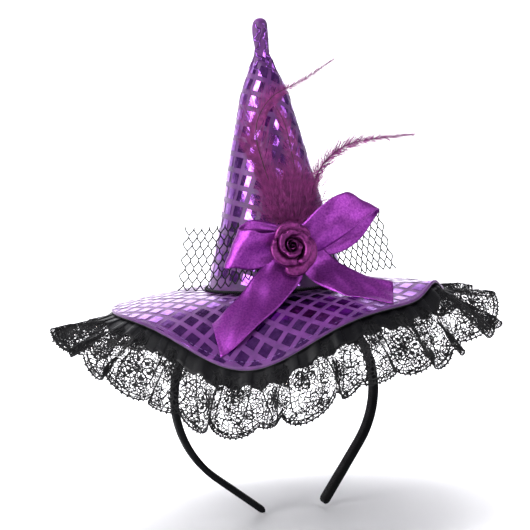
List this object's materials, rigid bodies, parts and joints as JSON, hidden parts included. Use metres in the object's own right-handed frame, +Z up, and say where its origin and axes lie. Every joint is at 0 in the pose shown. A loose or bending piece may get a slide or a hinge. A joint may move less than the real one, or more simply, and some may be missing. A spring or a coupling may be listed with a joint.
{
  "type": "mini witch hat on a headband",
  "caption": "Small pointed fabric witch hat on a sprung velvet headband, with foil squares, satin and lace round the brim, a ribbon bow, a satin rose and feathers.",
  "frame": {"origin": "centre of the headband's round part, where the wearer's head is", "axes": "+Z up along the cone, -Y to the front where the bow is, +X to the right as seen from the front"},
  "size_m": [0.2778, 0.2522, 0.2976],
  "materials": {
    "spring_plastic": "moulded spring strip, hidden in the sleeve",
    "velvet": "short-pile velvet",
    "glue": "hot-melt glue",
    "lining": "plain black lining cloth",
    "board": "stiff sheet",
    "foil_fabric": "violet cloth with mirror-bright foil squares",
    "foam": "thin closed-cell foam",
    "edging": "twisted cord",
    "black_satin": "pleated satin",
    "lace": "floral net lace with a scalloped edge",
    "net": "open diamond net",
    "ribbon": "bright satin",
    "felt": "felt",
    "rose_satin": "bright satin",
    "feather": "dyed feather"
  },
  "bodies": {
    "hat": {"bow_loop_left": "ribbon", "bow_loop_right": "ribbon", "bow_tail_left": "ribbon", "bow_tail_right": "ribbon", "bow_tie": "ribbon", "brim_board": "board", "brim_cover": "foil_fabric", "brim_lining": "lining", "crown_cover": "foil_fabric", "crown_edging": "edging", "crown_stiffener": "foam", "feather_fluff": "feather", "feather_left": "feather", "feather_middle": "feather", "feather_right": "feather", "feather_tall": "feather", "feather_wisp": "feather", "headband_core_arch": "spring_plastic", "headband_cover_arch": "velvet", "headband_glue": "glue", "lace_ruffle": "lace", "net_veil": "net", "rose_backing": "felt", "rose_heart": "rose_satin", "rose_petal_1": "rose_satin", "rose_petal_2": "rose_satin", "rose_petal_3": "rose_satin", "rose_petal_4": "rose_satin", "rose_petal_5": "rose_satin", "rose_petal_6": "rose_satin", "satin_trim": "black_satin"},
    "left_leg": {"headband_core_left_leg": "spring_plastic", "headband_cover_left_leg": "velvet"},
    "right_leg": {"headband_core_right_leg": "spring_plastic", "headband_cover_right_leg": "velvet"}
  },
  "joints": [
    {"name": "left_leg_flex", "type": "hinge", "parent": "hat", "child": "left_leg", "pos_m": [-0.05547, 0, 0.03202], "axis": [0, 1, 0], "range_deg": [0, 18], "stiffness_Nm_per_rad": 0.6},
    {"name": "right_leg_flex", "type": "hinge", "parent": "hat", "child": "right_leg", "pos_m": [0.05547, 0, 0.03202], "axis": [0, -1, 0], "range_deg": [0, 18], "stiffness_Nm_per_rad": 0.6}
  ]
}
